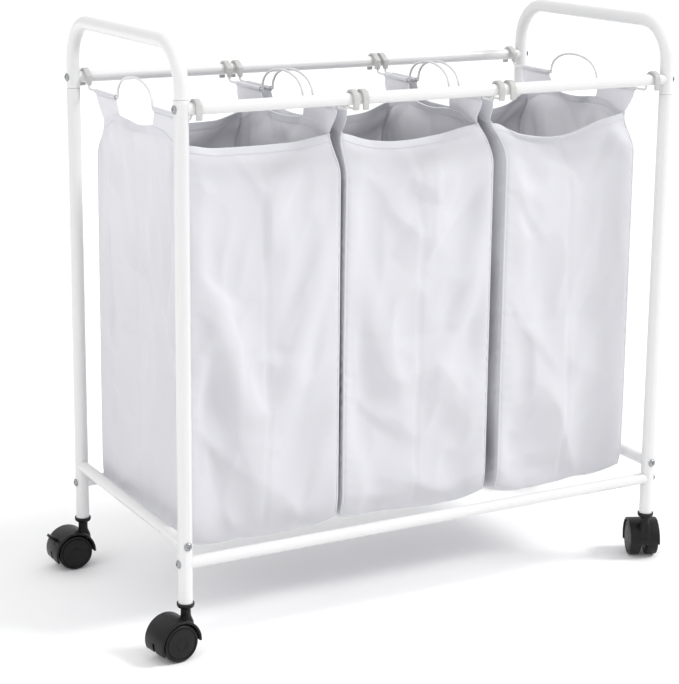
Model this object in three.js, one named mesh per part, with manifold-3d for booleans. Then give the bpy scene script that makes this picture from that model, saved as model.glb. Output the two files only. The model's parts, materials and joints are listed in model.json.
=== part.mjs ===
// Laundry sorter on wheels: a bolted steel-tube cart with two hanging rods, three cloth bags on
// wire hangers with plastic hooks, and four twin-wheel casters, the two rear ones with brake levers.
// Millimetres, +Z up, +X along the width, -Y to the front. The origin is on the floor at the
// centre of the footprint.
import * as THREE from 'three';
import { mergeVertices } from 'three/addons/utils/BufferGeometryUtils.js';
import Module from 'manifold-3d';

// Driving dimensions
const WIDTH = 762;                 // outside of the posts, left to right
const DEPTH = 381;                 // outside of the posts, front to back
const HEIGHT = 800;                // floor to the top of the handles
const POST_R = 9.5;                // 19 mm post and handle tube
const TUBE_WALL = 1.2;
const RAIL_R = 8;                  // 16 mm rods and rails
const RAIL_WALL = 1;
const BEND_R = 56;                 // centre-line radius of the handle bends
const FOOT_Z = 68;                 // lower end of the legs
const ROD_Z = 712;                 // centre of the hanging rods
const LONG_RAIL_Z = 125;           // centre of the front and rear lower rails
const SIDE_RAIL_Z = 150;           // centre of the side lower rails
const GAP = 0.3;                   // clearance between neighbouring pieces
const TUBE_SIDES = 16;             // facets round a tube
const HOLE_SIDES = 8;              // facets round a bolt or its hole
const POST_X = WIDTH / 2 - POST_R;
const POST_Y = DEPTH / 2 - POST_R;
const BORE_R = POST_R - TUBE_WALL;
const BEND_Z = HEIGHT - POST_R - BEND_R;

// Plug-in joint between a leg and the handle above it
const NECK_R = BORE_R - 2 * GAP;
const NECK_WALL = 1.1;
const NECK_LENGTH = 26;
const SHOULDER = 3;

// Fasteners
const BOLT_R = 3;
const BOLT_HOLE_R = BOLT_R + GAP;
const BOLT_HEAD_R = 5.5;
const BOLT_HEAD_HEIGHT = 3.2;
const BOLT_LENGTH = 42;
const INSERT_LENGTH = 22;          // solid threaded end of each rod and rail

// Casters
const WHEEL_R = 25;
const WHEEL_SIDES = 24;
const WHEEL_FACE = 21.3;           // outer face of each wheel from the caster's middle plane
const WHEEL_INNER = 3.1;
const AXLE_R = 2.9;
const TRAIL = 19;                  // stem axis to axle
const HOOD_R = 30.3;
const HOOD_INNER_R = 27;
const HOOD_HALF_WIDTH = 21.8;
const WEB_HALF = 2.5;
const STEM_R = 4;
const STEM_TOP = FOOT_Z + 23;
const COLUMN_R = 5.8;
const COLLAR_Z = FOOT_Z - 3.5;    // underside of the socket's cup
const LEVER_HALF_WIDTH = 6.5;
const LEVER_LOW = 26;              // lever's arc above the axle's level, in degrees
const LEVER_HIGH = 50;

// Bags and hangers
const WIRE_R = 1.8;
const WIRE_SIDES = 6;
const WIRE_Z = 696;                // straight stretches of the hanger wires
const WIRE_END_Y = 167;
const ARCH_MIDDLE_Y = 8;
const ARCH_HALF = 58;
const ARCH_RISE = 33;
const ARCH_STEPS = 12;
const WIRE_TURN = 5;               // bend of the wire below each hook
const TAB_TOP_Y = ARCH_HALF + 5;    // tab corner beside each foot of the arch
const HOOK_WIDTH = 8.5;
const HOOK_THICK = 4;
const CLOTH = 2;
const SLEEVE_R = 3.4;
const RIM_Z = 658;
const RIM_Y = 122;
const BAG_Y = 150;
const BAG_BOTTOM = 131;

const group = new THREE.Group();
const wasm = await Module();
wasm.setup();

function finish(colour, roughness, metalness) {
  return new THREE.MeshStandardMaterial({ color: colour, roughness, metalness });
}
const whitePaint = finish(0xf4f4f3, 0.35, 0.1);
const zinc = finish(0xa9abad, 0.3, 0.9);
const blackPlastic = finish(0x161616, 0.35, 0);
const blackTread = finish(0x1d1d1d, 0.5, 0);
const greyPlastic = finish(0xc9c9c7, 0.5, 0);
const whiteWire = finish(0xf0f0ef, 0.4, 0.1);
const whiteCloth = finish(0xf2f2f6, 0.8, 0);

// Geometry to solid and back
function solid(geometry, matrix) {
  const shape = geometry.clone();
  if (matrix) shape.applyMatrix4(matrix);
  shape.deleteAttribute('normal');
  shape.deleteAttribute('uv');
  const merged = mergeVertices(shape, 1e-4);
  return new wasm.Manifold(new wasm.Mesh({
    numProp: 3,
    vertProperties: merged.attributes.position.array,
    triVerts: Uint32Array.from(merged.index.array),
  }));
}

function add(name, shape, material, warp) {
  const made = shape.getMesh();
  const geometry = new THREE.BufferGeometry();
  geometry.setAttribute('position', new THREE.Float32BufferAttribute(made.vertProperties, 3));
  geometry.setIndex(new THREE.Uint32BufferAttribute(made.triVerts, 1));
  if (warp) warp(geometry.attributes.position);
  geometry.computeVertexNormals();
  const mesh = new THREE.Mesh(geometry, material);
  mesh.name = name;
  group.add(mesh);
  return mesh;
}

// A matrix that lays a shape's own +Y (cylinders, lathes) along a direction from a point
function along(from, direction) {
  const turn = new THREE.Quaternion().setFromUnitVectors(
    new THREE.Vector3(0, 1, 0), direction.clone().normalize());
  return new THREE.Matrix4().compose(from, turn, new THREE.Vector3(1, 1, 1));
}

function bar(from, to, radius, sides = TUBE_SIDES) {
  const run = to.clone().sub(from);
  const shape = new THREE.CylinderGeometry(radius, radius, run.length(), sides);
  return solid(shape, along(from.clone().add(to).multiplyScalar(0.5), run));
}

// A closed outline of [radius, height] points turned about an axis
function turned(outline, matrix, sides = TUBE_SIDES) {
  const points = [...outline, outline[0]].map(([r, h]) => new THREE.Vector2(r, h));
  return solid(new THREE.LatheGeometry(points, sides), matrix);
}

const upAt = (x, y) => along(new THREE.Vector3(x, y, 0), new THREE.Vector3(0, 0, 1));

// A sweep path with one ring at each of its points
class PointPath extends THREE.Curve {
  constructor(points) {
    super();
    this.points = points;
  }

  getUtoTmapping(u) {
    return u;
  }

  getPoint(t, target = new THREE.Vector3()) {
    const place = Math.min(Math.max(t, 0), 1) * (this.points.length - 1);
    const low = Math.min(Math.floor(place), this.points.length - 2);
    return target.lerpVectors(this.points[low], this.points[low + 1], place - low);
  }
}

function swept(points, radius, sides) {
  const ring = new THREE.Shape();
  for (let i = 0; i < sides; i += 1) {
    const angle = (2 * Math.PI * i) / sides;
    ring[i ? 'lineTo' : 'moveTo'](radius * Math.cos(angle), radius * Math.sin(angle));
  }
  return solid(new THREE.ExtrudeGeometry(ring, {
    steps: points.length - 1,
    extrudePath: new PointPath(points),
  }));
}

// A flat outline of [y, z] points, given a thickness in X about a middle plane
function plateX(outline, x, thickness) {
  const shape = new THREE.Shape(outline.map(([y, z]) => new THREE.Vector2(y, z)));
  const flat = new THREE.ExtrudeGeometry(shape, { depth: thickness, bevelEnabled: false });
  const turn = new THREE.Matrix4().makeBasis(
    new THREE.Vector3(0, 1, 0), new THREE.Vector3(0, 0, 1), new THREE.Vector3(1, 0, 0));
  turn.setPosition(x - thickness / 2, 0, 0);
  return solid(flat, turn);
}

function arc(cx, cy, radius, fromDegrees, toDegrees, steps) {
  const points = [];
  for (let i = 0; i <= steps; i += 1) {
    const angle = THREE.MathUtils.degToRad(fromDegrees + ((toDegrees - fromDegrees) * i) / steps);
    points.push([cx + radius * Math.cos(angle), cy + radius * Math.sin(angle)]);
  }
  return points;
}

// Corners: sign of x and y, the height of the seam between leg and handle, the way the caster
// trails (degrees from +X), whether the handle plugs into the leg, and whether it has a brake
const corners = [
  { name: 'front_left', sx: -1, sy: -1, seam: 724, trail: 188, plugInLeg: true, brake: false },
  { name: 'rear_left', sx: -1, sy: 1, seam: 697, trail: 180, plugInLeg: false, brake: true },
  { name: 'front_right', sx: 1, sy: -1, seam: 691, trail: 65, plugInLeg: false, brake: false },
  { name: 'rear_right', sx: 1, sy: 1, seam: 693, trail: 8, plugInLeg: false, brake: true },
];
const corner = (name) => corners.find((one) => one.name === name);

// Bolt holes through both walls of a post: two along X and one along Y
function drilled(tube, { sx, sy }) {
  const x = sx * POST_X;
  const y = sy * POST_Y;
  const reach = 2 * POST_R;
  let cut = tube;
  for (const z of [ROD_Z, LONG_RAIL_Z]) {
    cut = cut.subtract(bar(new THREE.Vector3(x - reach, y, z),
      new THREE.Vector3(x + reach, y, z), BOLT_HOLE_R, HOLE_SIDES));
  }
  return cut.subtract(bar(new THREE.Vector3(x, y - reach, SIDE_RAIL_Z),
    new THREE.Vector3(x, y + reach, SIDE_RAIL_Z), BOLT_HOLE_R, HOLE_SIDES));
}

function makeLeg(one) {
  const top = one.seam - GAP / 2;
  const neckTop = top + NECK_LENGTH;
  const neckBore = NECK_R - NECK_WALL;
  const outline = one.plugInLeg
    ? [[POST_R, FOOT_Z], [POST_R, top], [BORE_R, top], [BORE_R, FOOT_Z]]
    : [[POST_R, FOOT_Z], [POST_R, top], [NECK_R, top], [NECK_R, neckTop], [neckBore, neckTop],
      [neckBore, top - SHOULDER], [BORE_R, top - SHOULDER], [BORE_R, FOOT_Z]];
  const tube = turned(outline, upAt(one.sx * POST_X, one.sy * POST_Y));
  add(`leg_${one.name}`, drilled(tube, one), whitePaint);
}

// A handle is one tube bent twice, from the seam of its front leg to the seam of its rear leg
function makeHandle(side, sx) {
  const front = corner(`front_${side}`);
  const rear = corner(`rear_${side}`);
  const x = sx * POST_X;
  const reach = POST_Y - BEND_R;
  const bends = [...arc(-reach, BEND_Z, BEND_R, 180, 90, 7), ...arc(reach, BEND_Z, BEND_R, 90, 0, 7)];
  const path = (extra) => [[-POST_Y, front.seam + GAP / 2 - extra], ...bends,
    [POST_Y, rear.seam + GAP / 2 - extra]].map(([y, z]) => new THREE.Vector3(x, y, z));
  let tube = swept(path(0), POST_R, TUBE_SIDES).subtract(swept(path(1), BORE_R, 12));
  for (const one of [front, rear]) {
    if (one.plugInLeg) {
      const low = one.seam + GAP / 2;
      const bore = NECK_R - NECK_WALL;
      tube = tube.add(turned([[bore, low - NECK_LENGTH], [NECK_R, low - NECK_LENGTH], [NECK_R, low],
        [POST_R - 0.2, low], [POST_R - 0.2, low + SHOULDER], [bore, low + SHOULDER]],
      upAt(x, one.sy * POST_Y)));
    }
    tube = drilled(tube, one);
  }
  add(`handle_${side}`, tube, whitePaint);
}

// A rod or rail between two posts, coped to them, with a threaded insert in each end
function makeRail(name, from, to) {
  const run = to.clone().sub(from).normalize();
  const at = (end, distance) => end.clone().addScaledVector(run, distance);
  const post = POST_R + GAP;
  let rail = bar(from, to, RAIL_R)
    .subtract(bar(at(from, post + INSERT_LENGTH), at(to, -post - INSERT_LENGTH),
      RAIL_R - RAIL_WALL, 12))
    .subtract(bar(from, at(from, post + INSERT_LENGTH + 1), BOLT_HOLE_R, HOLE_SIDES))
    .subtract(bar(at(to, -post - INSERT_LENGTH - 1), to, BOLT_HOLE_R, HOLE_SIDES));
  for (const end of [from, to]) {
    const down = new THREE.Vector3(end.x, end.y, end.z - 2 * RAIL_R);
    const up = new THREE.Vector3(end.x, end.y, end.z + 2 * RAIL_R);
    rail = rail.subtract(bar(down, up, post, 24));
  }
  add(name, rail, whitePaint);
}

// A pan-head bolt whose head bears on the outside of a post
function makeBolt(name, post, inward) {
  const start = post.clone().addScaledVector(inward, -(POST_R + GAP));
  add(name, turned([[0, -BOLT_HEAD_HEIGHT], [3.6, 0.6 - BOLT_HEAD_HEIGHT], [BOLT_HEAD_R, -1],
    [BOLT_HEAD_R, 0], [BOLT_R, 0], [BOLT_R, BOLT_LENGTH], [0, BOLT_LENGTH]],
  along(start, inward), HOLE_SIDES), zinc);
}

// Casters are made trailing along +X at the origin, then stood at their corner
function sector(inner, outer, from, to, halfWidth, steps) {
  const outline = [...arc(TRAIL, WHEEL_R, outer, from, to, steps),
    ...arc(TRAIL, WHEEL_R, inner, to, from, steps)];
  return extrudedY(outline, halfWidth);
}

// A flat outline of [x, z] points, as wide either side of the caster's middle plane
function extrudedY(outline, halfWidth) {
  const shape = new THREE.Shape(outline.map(([x, z]) => new THREE.Vector2(x, z)));
  const flat = new THREE.ExtrudeGeometry(shape, { depth: 2 * halfWidth, bevelEnabled: false });
  const turn = new THREE.Matrix4().makeBasis(
    new THREE.Vector3(1, 0, 0), new THREE.Vector3(0, 0, 1), new THREE.Vector3(0, -1, 0));
  turn.setPosition(0, halfWidth, 0);
  return solid(flat, turn);
}

function hoodShape(brake) {
  const stemSide = 183;
  const trailingSide = -24;
  const boss = 7.5;
  const web = [...arc(TRAIL, WHEEL_R, HOOD_INNER_R + 1, trailingSide, stemSide, 16),
    ...arc(TRAIL, WHEEL_R, boss, 215, 305, 4)];
  const across = HOOD_HALF_WIDTH + 1;
  const wheelRoom = bar(new THREE.Vector3(TRAIL, -across, WHEEL_R),
    new THREE.Vector3(TRAIL, across, WHEEL_R), HOOD_INNER_R + 1, WHEEL_SIDES);
  const axleHole = bar(new THREE.Vector3(TRAIL, -across, WHEEL_R),
    new THREE.Vector3(TRAIL, across, WHEEL_R), AXLE_R + GAP, HOLE_SIDES);
  const column = bar(new THREE.Vector3(0, 0, 38), new THREE.Vector3(0, 0, COLLAR_Z - GAP),
    COLUMN_R, 12).subtract(wheelRoom);
  const stem = bar(new THREE.Vector3(0, 0, COLLAR_Z - 6), new THREE.Vector3(0, 0, STEM_TOP),
    STEM_R, HOLE_SIDES);
  let hood = sector(HOOD_INNER_R, HOOD_R, trailingSide, stemSide, HOOD_HALF_WIDTH, 16)
    .add(extrudedY(web, WEB_HALF))
    .subtract(axleHole)
    .add(column)
    .add(stem);
  if (brake) {
    hood = hood.subtract(sector(HOOD_INNER_R - 1, HOOD_R + 2, LEVER_LOW - 1, LEVER_HIGH + 1,
      LEVER_HALF_WIDTH + GAP, 6));
  }
  return hood;
}

function leverShape() {
  const body = sector(HOOD_INNER_R + GAP, HOOD_R, LEVER_LOW, LEVER_HIGH, LEVER_HALF_WIDTH, 6);
  const tab = [...arc(TRAIL, WHEEL_R, HOOD_R - 1.4, 33, 43, 2),
    ...arc(TRAIL, WHEEL_R, HOOD_R + 12, 39.5, 34.5, 1)];
  return body.add(extrudedY(tab, LEVER_HALF_WIDTH));
}

// Both wheels turn as one on their axle; one facet of the tread lies flat on the floor
function wheelsShape() {
  const tread = WHEEL_R / Math.cos(Math.PI / WHEEL_SIDES);
  const half = [[WHEEL_INNER, AXLE_R], [WHEEL_INNER, 24], [5, tread], [19, tread],
    [WHEEL_FACE, 22], [WHEEL_FACE, 0]];
  const outline = [...half.map(([y, r]) => [r, y]),
    ...half.slice().reverse().map(([y, r]) => [r, -y])];
  const flatDown = new THREE.Matrix4().makeRotationY(Math.PI / WHEEL_SIDES);
  return turned(outline, flatDown.setPosition(TRAIL, 0, WHEEL_R), WHEEL_SIDES);
}

function makeCaster(one) {
  const place = new THREE.Group();
  place.position.set(one.sx * POST_X, one.sy * POST_Y, 0);
  place.rotation.z = THREE.MathUtils.degToRad(one.trail);
  group.add(place);
  place.add(add(`caster_hood_${one.name}`, hoodShape(one.brake), blackPlastic));
  place.add(add(`caster_wheels_${one.name}`, wheelsShape(), blackTread));
  if (one.brake) place.add(add(`brake_lever_${one.name}`, leverShape(), blackPlastic));
}

// The plastic socket pressed into a leg's foot, with a cup round the tube's end
function makeSocket(one) {
  const cup = POST_R + GAP;
  add(`caster_socket_${one.name}`, turned([[STEM_R + GAP, COLLAR_Z], [8.5, COLLAR_Z],
    [11.6, FOOT_Z - 0.5], [11.6, FOOT_Z + 3.5], [cup, FOOT_Z + 3.5], [cup, FOOT_Z - GAP],
    [NECK_R, FOOT_Z - GAP], [NECK_R, FOOT_Z + 24], [STEM_R + GAP, FOOT_Z + 24]],
  upAt(one.sx * POST_X, one.sy * POST_Y)), blackPlastic);
}

// Hangers: each has an x at the front rod and an x at the rear rod
const bags = [
  { name: 'left', left: [-352, -354], right: [-132, -140] },
  { name: 'middle', left: [-118, -123], right: [89, 106] },
  { name: 'right', left: [107, 119], right: [348, 350] },
];
const hangerX = ([front, rear], y) => (front + rear) / 2 + ((rear - front) / 2) * (y / POST_Y);

function makeWire(name, hanger) {
  const turn = WIRE_TURN;
  const start = ROD_Z - 3;
  const arch = [];
  for (let i = 1; i < ARCH_STEPS; i += 1) {
    const angle = Math.PI * (1 - i / ARCH_STEPS);
    arch.push([ARCH_MIDDLE_Y + ARCH_HALF * Math.cos(angle),
      WIRE_Z + ARCH_RISE * Math.sin(angle) ** 0.8]);
  }
  const foot = (sign) => [[ARCH_MIDDLE_Y + sign * (ARCH_HALF + 4), WIRE_Z],
    [ARCH_MIDDLE_Y + sign * (ARCH_HALF + 1), WIRE_Z + 1.4]];
  const end = (sign) => [[sign * WIRE_END_Y, start], [sign * WIRE_END_Y, WIRE_Z + turn],
    [sign * (WIRE_END_Y - 0.3 * turn), WIRE_Z + 0.3 * turn], [sign * (WIRE_END_Y - turn), WIRE_Z]];
  const route = [...end(-1), ...foot(-1), ...arch, ...foot(1).reverse(), ...end(1).reverse()];
  const points = route.map(([y, z]) => new THREE.Vector3(hangerX(hanger, y), y, z));
  add(name, swept(points, WIRE_R, WIRE_SIDES), whiteWire);
}

// A hook arches over its rod: a free leg outside, and a leg inside that takes the wire's end
function makeHook(name, x, sy) {
  const inner = RAIL_R + GAP;
  const outer = inner + HOOK_THICK;
  const legLow = WIRE_Z + WIRE_TURN + 0.5;
  const legIn = WIRE_END_Y - 3.6;
  const legOut = WIRE_END_Y + 3.6;
  const outline = [[POST_Y + outer, ROD_Z - 14], ...arc(POST_Y, ROD_Z, outer, 0, 150, 7),
    [legIn, ROD_Z + 2], [legIn, legLow], [legOut, legLow], [legOut + 1.6, ROD_Z - 2],
    ...arc(POST_Y, ROD_Z, inner, 165, 0, 7), [POST_Y + inner, ROD_Z - 14]];
  const flat = outline.map(([y, z]) => [sy * y, z]);
  const socket = bar(new THREE.Vector3(x, sy * WIRE_END_Y, legLow - 1),
    new THREE.Vector3(x, sy * WIRE_END_Y, ROD_Z - 2.5), WIRE_R + GAP, HOLE_SIDES);
  add(name, plateX(sy > 0 ? flat : flat.reverse(), x, HOOK_WIDTH).subtract(socket), greyPlastic);
}

// A bag: an open box narrower at its rim, whose two side panels rise into tabs with sleeves
function makeBag(bag) {
  const mid = (pair) => (pair[0] + pair[1]) / 2;
  const left = mid(bag.left);
  const right = mid(bag.right);
  const profile = (inset, rim) => {
    const half = [[RIM_Y - inset, rim], [RIM_Y - inset, RIM_Z - 8], [BAG_Y - 4 - inset, RIM_Z - 46],
      [BAG_Y - inset, 160], [BAG_Y - 6 - inset, BAG_BOTTOM + inset]];
    return [...half.map(([y, z]) => [-y, z]), ...half.slice().reverse()];
  };
  const middle = (left + right) / 2;
  const width = right - left + CLOTH;
  let shape = plateX(profile(0, RIM_Z), middle, width)
    .subtract(plateX(profile(CLOTH, RIM_Z + 20), middle, width - 2 * CLOTH));
  const tabRear = ARCH_MIDDLE_Y + TAB_TOP_Y;
  const tabFront = ARCH_MIDDLE_Y - TAB_TOP_Y;
  const tabs = [[120, RIM_Z - 20], [120, RIM_Z + 4], [127, RIM_Z + 14], [136, WIRE_Z - 12],
    [141, WIRE_Z], [tabRear, WIRE_Z], [tabRear - 12, WIRE_Z - 20], [tabFront + 6, WIRE_Z - 20],
    [tabFront, WIRE_Z],
    [-141, WIRE_Z], [-136, WIRE_Z - 12], [-127, RIM_Z + 14], [-120, RIM_Z + 4],
    [-120, RIM_Z - 20]].reverse();
  for (const x of [left, right]) {
    shape = shape.add(plateX(tabs, x, CLOTH));
    for (const [from, to] of [[-148, tabFront], [tabRear, 148]]) {
      const ends = [from, to].map((y) => new THREE.Vector3(x, y, WIRE_Z));
      shape = shape.add(bar(ends[0], ends[1], SLEEVE_R, HOLE_SIDES));
      ends[0].y -= 3;
      ends[1].y += 3;
      shape = shape.subtract(bar(ends[0], ends[1], WIRE_R + GAP, HOLE_SIDES));
    }
  }
  const lean = (position) => {
    for (let i = 0; i < position.count; i += 1) {
      const x = position.getX(i);
      const y = position.getY(i);
      const share = (x - left) / (right - left);
      const from = hangerX(bag.left, y) - left;
      const to = hangerX(bag.right, y) - right;
      position.setX(i, x + from + (to - from) * share);
    }
  };
  add(`bag_${bag.name}`, shape, whiteCloth, lean);
}

// The cart
for (const one of corners) {
  const post = new THREE.Vector3(one.sx * POST_X, one.sy * POST_Y, 0);
  const sideways = new THREE.Vector3(-one.sx, 0, 0);
  const endways = new THREE.Vector3(0, -one.sy, 0);
  makeLeg(one);
  makeSocket(one);
  makeCaster(one);
  makeBolt(`rod_bolt_${one.name}`, post.clone().setZ(ROD_Z), sideways);
  makeBolt(`long_rail_bolt_${one.name}`, post.clone().setZ(LONG_RAIL_Z), sideways);
  makeBolt(`side_rail_screw_${one.name}`, post.clone().setZ(SIDE_RAIL_Z), endways);
}
for (const [side, sx] of [['left', -1], ['right', 1]]) {
  makeHandle(side, sx);
  makeRail(`side_rail_${side}`, new THREE.Vector3(sx * POST_X, -POST_Y, SIDE_RAIL_Z),
    new THREE.Vector3(sx * POST_X, POST_Y, SIDE_RAIL_Z));
}
for (const [end, sy] of [['front', -1], ['rear', 1]]) {
  makeRail(`hanging_rod_${end}`, new THREE.Vector3(-POST_X, sy * POST_Y, ROD_Z),
    new THREE.Vector3(POST_X, sy * POST_Y, ROD_Z));
  makeRail(`long_rail_${end}`, new THREE.Vector3(-POST_X, sy * POST_Y, LONG_RAIL_Z),
    new THREE.Vector3(POST_X, sy * POST_Y, LONG_RAIL_Z));
}
for (const bag of bags) {
  makeBag(bag);
  for (const side of ['left', 'right']) {
    makeWire(`hanger_wire_${bag.name}_${side}`, bag[side]);
    makeHook(`hook_${bag.name}_${side}_front`, hangerX(bag[side], -WIRE_END_Y), -1);
    makeHook(`hook_${bag.name}_${side}_rear`, hangerX(bag[side], WIRE_END_Y), 1);
  }
}

export default group;
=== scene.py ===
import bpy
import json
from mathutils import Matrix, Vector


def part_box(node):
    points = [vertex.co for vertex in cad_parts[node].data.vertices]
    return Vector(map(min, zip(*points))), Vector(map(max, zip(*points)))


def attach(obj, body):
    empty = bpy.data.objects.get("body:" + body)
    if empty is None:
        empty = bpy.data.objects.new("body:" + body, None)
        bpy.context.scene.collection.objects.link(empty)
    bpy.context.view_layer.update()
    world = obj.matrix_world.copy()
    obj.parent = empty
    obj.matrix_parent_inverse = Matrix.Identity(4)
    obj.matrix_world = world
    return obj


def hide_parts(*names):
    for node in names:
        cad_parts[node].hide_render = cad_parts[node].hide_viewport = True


bl_info = {
    "name": "Rolling laundry sorter",
    "version": (1, 0, 0),
    "blender": (4, 5, 0),
    "location": "3D View > Sidebar > Sorter",
    "description": "Models a steel-tube laundry sorter with hook-on cloth bags on twin-wheel casters",
    "category": "Add Mesh",
}

import json
import math

import bpy
from mathutils import Matrix, Vector, noise

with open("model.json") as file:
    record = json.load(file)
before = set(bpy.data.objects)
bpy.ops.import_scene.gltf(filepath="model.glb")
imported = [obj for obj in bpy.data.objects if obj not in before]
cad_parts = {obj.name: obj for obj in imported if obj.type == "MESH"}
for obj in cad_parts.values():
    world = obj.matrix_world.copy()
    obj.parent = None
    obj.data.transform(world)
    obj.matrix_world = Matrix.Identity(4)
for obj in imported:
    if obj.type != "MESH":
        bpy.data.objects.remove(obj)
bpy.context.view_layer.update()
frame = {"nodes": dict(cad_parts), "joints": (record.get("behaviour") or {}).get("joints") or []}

MM = 0.001
CORNERS = ("front_left", "rear_left", "front_right", "rear_right")
BAGS = ("left", "middle", "right")
SIDES = ("left", "right")
JOINTS = {joint["name"]: joint for joint in frame["joints"]}
NECK_LENGTH = 26 * MM     # part of a leg that plugs up into its handle
SEAM_GAP = 0.3 * MM


def middle(node):
    """The centre of a CAD node's box."""
    low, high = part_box(node)
    return (low + high) / 2


def side_sign(name):
    return -1 if "left" in name else 1


def end_sign(name):
    return -1 if "front" in name else 1


# ---------------------------------------------------------------- settings


def length(name, description, default, low=0.0):
    return bpy.props.FloatProperty(
        name=name, description=description, default=default, min=low,
        unit="LENGTH", subtype="DISTANCE", precision=4)


def colour(name, description, default):
    return bpy.props.FloatVectorProperty(
        name=name, description=description, default=default, size=3,
        min=0.0, max=1.0, subtype="COLOR")


class CartSizes(bpy.types.PropertyGroup):
    """Sizes of the tube frame"""

    tube_radius: length("Tube radius", "Outside radius of the legs and handles", 9.5 * MM)
    rail_radius: length("Rail radius", "Outside radius of the rods and rails", 8 * MM)
    bend_radius: length("Bend radius", "Centre-line radius of the handle bends", 56 * MM)
    lip: length("Lip", "How far the swaged lip stands out of a leg", 0.55 * MM)
    lip_height: length("Lip height", "Height of the swaged lip", 5.5 * MM)
    dimple_depth: length("Dimple depth", "Depth of the dimple round each bolt", 1.1 * MM)
    dimple_radius: length("Dimple radius", "Radius of the ball that presses the dimples", 12 * MM)
    bolt_radius: length("Bolt head radius", "Radius of the pan heads", 5.6 * MM)
    facets: bpy.props.IntProperty(
        name="Facets", description="Facets round each tube", default=48, min=12)


class CasterSizes(bpy.types.PropertyGroup):
    """Sizes of the twin-wheel casters"""

    wheel_radius: length("Wheel radius", "Radius of the wheels", 25 * MM)
    wheel_face: length("Wheel face", "Middle plane to the outer face of a wheel", 21.3 * MM)
    hood_radius: length("Hood radius", "Outside radius of the hood", 30.3 * MM)
    hood_wall: length("Hood wall", "Thickness of the hood", 3.2 * MM)
    hood_half_width: length("Hood half width", "Middle plane to the edge of the hood", 21.8 * MM)
    collar_radius: length("Collar radius", "Radius of the cup round the foot of a leg", 11.6 * MM)
    column_radius: length("Column radius", "Radius of the column under the cup", 6.6 * MM)


class BagSizes(bpy.types.PropertyGroup):
    """Sizes of the cloth bags and their hangers"""

    rim_half_depth: length("Rim half depth", "Half the depth of a bag at its rim", 122 * MM)
    half_depth: length("Half depth", "Half the depth of a bag's body", 148 * MM)
    rim_height: length("Rim height", "Floor to the rim of a bag", 660 * MM)
    cloth: length("Cloth", "Thickness of the cloth", 0.7 * MM)
    hem: length("Hem thickness", "Thickness of the folded hem", 1.9 * MM)
    piping: length("Piping radius", "Radius of the rolled corner seams", 1.7 * MM)
    wire_radius: length("Wire radius", "Radius of the hanger wire", 1.8 * MM)
    cell: length("Cell", "Size of the cloth cells", 9.5 * MM, 4 * MM)
    spare: bpy.props.FloatProperty(
        name="Spare cloth", description="Extra cloth in the weave before it settles",
        default=0.018, min=0.0, max=0.1, subtype="FACTOR")
    settle: bpy.props.IntProperty(
        name="Settling steps", description="Steps the cloth has to settle", default=26, min=1)


class Finishes(bpy.types.PropertyGroup):
    """Colours of the finishes"""

    paint: colour("Powder coat", "White powder coat of the tubes", (0.70, 0.70, 0.70))
    wire: colour("Wire coat", "White coat of the hanger wires", (0.67, 0.67, 0.67))
    nylon: colour("Black nylon", "Casters and sockets", (0.006, 0.006, 0.006))
    tread: colour("Wheel nylon", "Caster wheels", (0.005, 0.005, 0.005))
    hook: colour("Hook plastic", "Grey plastic of the hooks", (0.47, 0.47, 0.46))
    zinc: colour("Zinc", "Bolts and screws", (0.36, 0.37, 0.38))
    cloth: colour("Cloth", "White polyester", (0.61, 0.61, 0.645))


# ---------------------------------------------------------------- bench tools


def clear_bench():
    """Leave edit mode with nothing selected."""
    if bpy.context.object and bpy.context.object.mode != "OBJECT":
        bpy.ops.object.mode_set(mode="OBJECT")
    bpy.ops.object.select_all(action="DESELECT")


def pick(obj):
    clear_bench()
    obj.select_set(True)
    bpy.context.view_layer.objects.active = obj


def named(name):
    """Name the piece just added, and put its place in its mesh."""
    obj = bpy.context.object
    obj.name = name
    obj.data.name = name
    bpy.ops.object.transform_apply(location=True, rotation=True, scale=True)
    return obj


def outline(name, points):
    """Draw an open chain of edges from point to point, and stay in edit mode."""
    clear_bench()
    first = Vector(points[0])
    bpy.ops.mesh.primitive_plane_add(size=MM, location=first)
    obj = named(name)
    bpy.ops.object.mode_set(mode="EDIT")
    bpy.ops.mesh.select_mode(type="VERT")
    bpy.ops.mesh.select_all(action="SELECT")
    bpy.ops.mesh.merge(type="CENTER")
    last = first
    for point in points[1:]:
        step = Vector(point) - last
        bpy.ops.mesh.extrude_region_move(TRANSFORM_OT_translate={"value": step})
        last = Vector(point)
    bpy.ops.mesh.select_all(action="SELECT")
    return obj


def tidy_mesh():
    """Merge what lies together, turn all faces outwards, and leave edit mode."""
    bpy.ops.mesh.select_all(action="SELECT")
    bpy.ops.mesh.remove_doubles(threshold=0.00001)
    bpy.ops.mesh.normals_make_consistent(inside=False)
    bpy.ops.object.mode_set(mode="OBJECT")


def turned(name, profile, steps=48):
    """Turn a closed profile of (radius, height) in millimetres about the vertical axis."""
    obj = outline(name, [(r * MM, 0, h * MM) for r, h in profile])
    bpy.ops.mesh.edge_face_add()
    bpy.ops.mesh.delete(type="ONLY_FACE")
    bpy.ops.mesh.select_all(action="SELECT")
    bpy.ops.mesh.spin(steps=steps, angle=2 * math.pi, center=(0, 0, 0), axis=(0, 0, 1))
    tidy_mesh()
    return obj


def slab(name, profile, half_width):
    """Extrude a closed profile of (x, z) in millimetres to both sides of y = 0."""
    obj = outline(name, [(x * MM, -half_width, z * MM) for x, z in profile])
    bpy.ops.mesh.edge_face_add()
    bpy.ops.mesh.extrude_region_move(
        TRANSFORM_OT_translate={"value": (0, 2 * half_width, 0)})
    tidy_mesh()
    return obj


def arc(cx, cy, radius, start, stop, steps):
    """Points along an arc, angles in degrees."""
    angles = [math.radians(start + (stop - start) * i / steps) for i in range(steps + 1)]
    return [(cx + radius * math.cos(a), cy + radius * math.sin(a)) for a in angles]


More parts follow.
